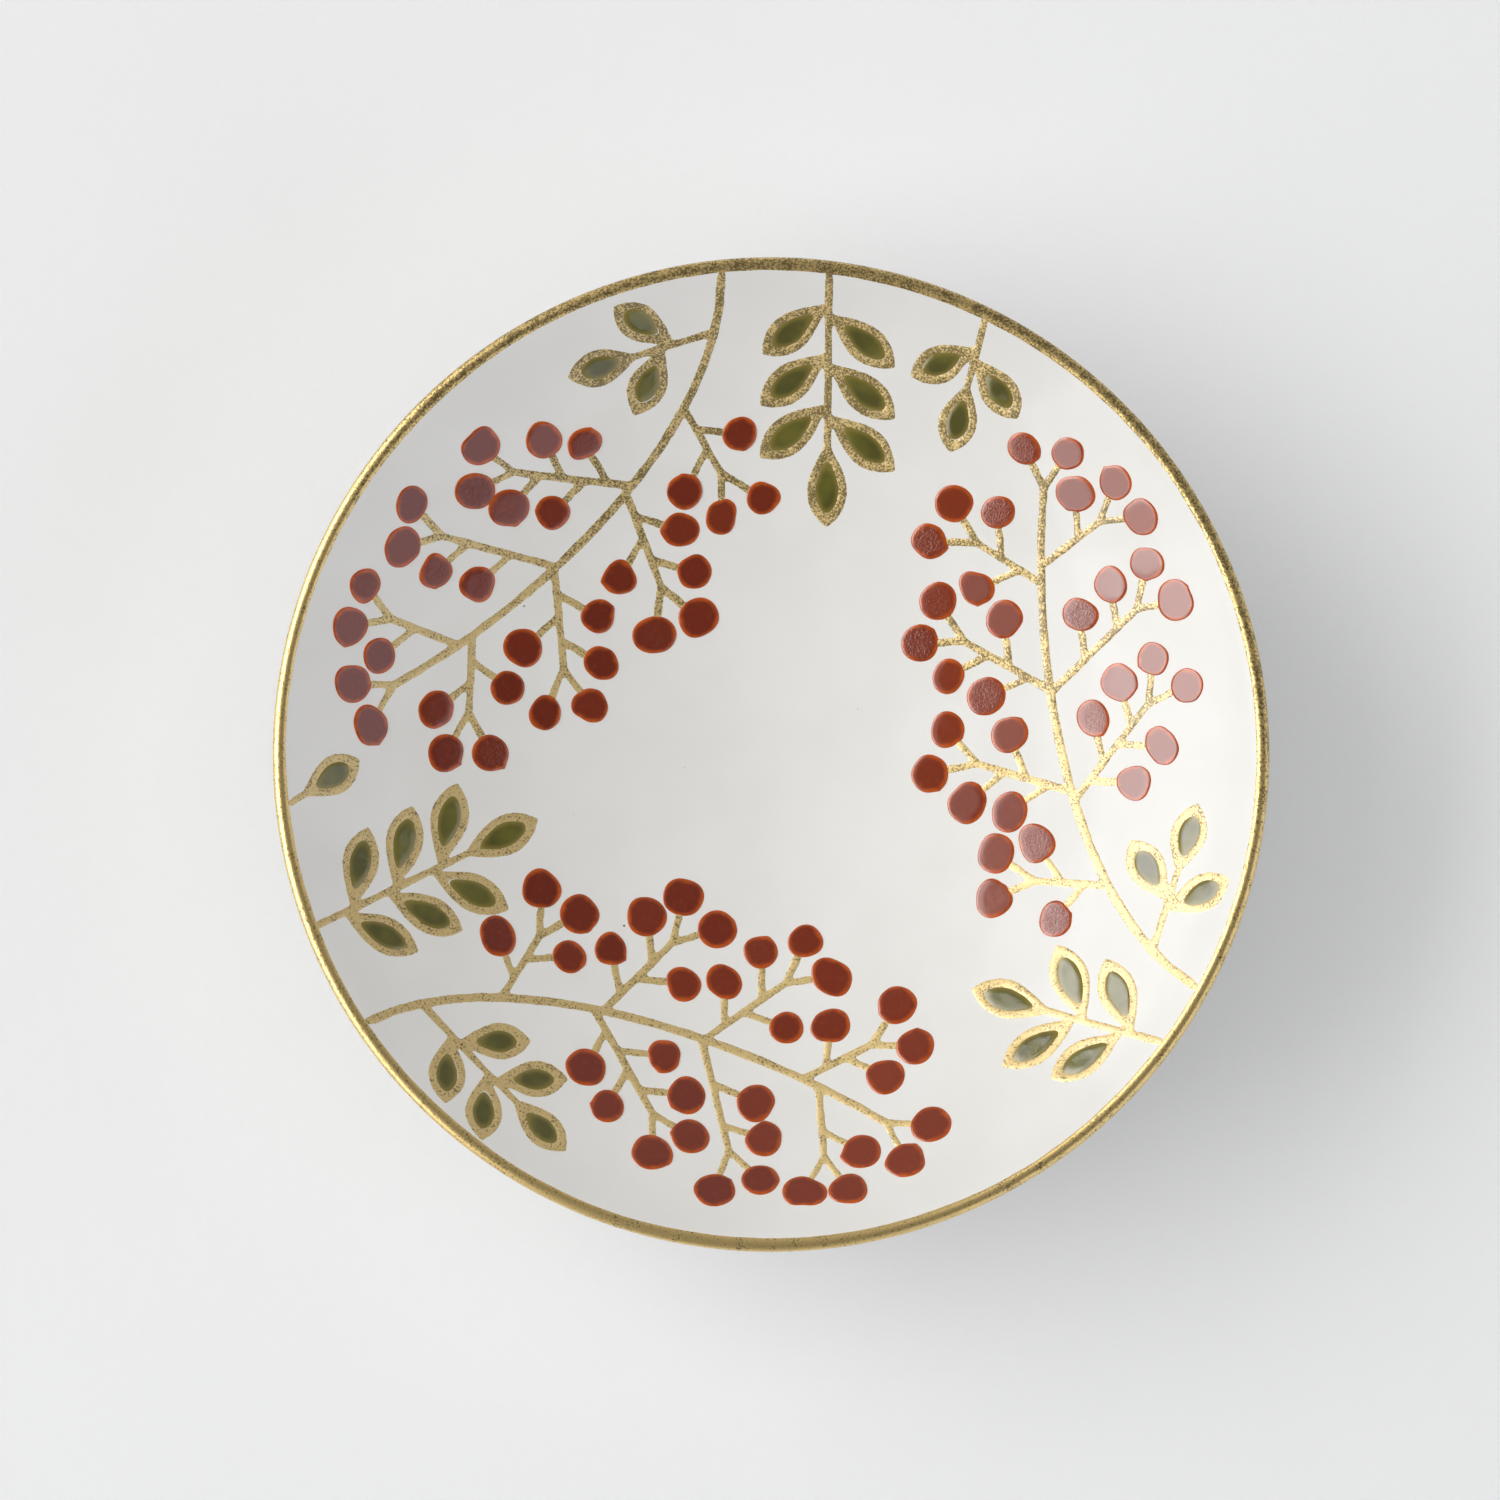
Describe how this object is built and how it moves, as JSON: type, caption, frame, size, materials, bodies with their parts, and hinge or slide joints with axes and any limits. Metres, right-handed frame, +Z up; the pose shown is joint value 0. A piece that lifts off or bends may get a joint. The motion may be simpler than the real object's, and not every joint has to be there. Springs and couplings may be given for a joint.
{
  "type": "small porcelain dish",
  "caption": "Shallow round white porcelain dish on a foot ring, with a gilt lip and, inside, red enamel berries, gold stems and green enamel leaves. Holds small foods or trinkets.",
  "frame": {"origin": "middle of the plane that the foot ring stands on", "axes": "+Z up out of the dish, +Y towards the top of the picture, +X towards its right"},
  "size_m": [0.105, 0.105, 0.025],
  "materials": {
    "porcelain": "bare fired porcelain, matte",
    "glaze": "clear gloss glaze over white porcelain",
    "gilding": "brushed-on gold, satin, a little worn",
    "painted_gold": "painted gold, mottled satin",
    "green_enamel": "glossy olive green enamel",
    "red_enamel": "glossy brick red enamel in low drops"
  },
  "bodies": {
    "root": {"porcelain_body": "porcelain", "clear_glaze": "glaze", "gilt_rim": "gilding", "spray_gold_1": "painted_gold", "spray_gold_2": "painted_gold", "spray_gold_3": "painted_gold", "spray_leaves_1": "green_enamel", "spray_leaves_2": "green_enamel", "spray_leaves_3": "green_enamel", "spray_berries_1": "red_enamel", "spray_berries_2": "red_enamel", "spray_berries_3": "red_enamel", "sprig_gold_1": "painted_gold", "sprig_gold_2": "painted_gold", "sprig_gold_3": "painted_gold", "sprig_leaves_1": "green_enamel", "sprig_leaves_2": "green_enamel", "sprig_leaves_3": "green_enamel"}
  },
  "joints": []
}
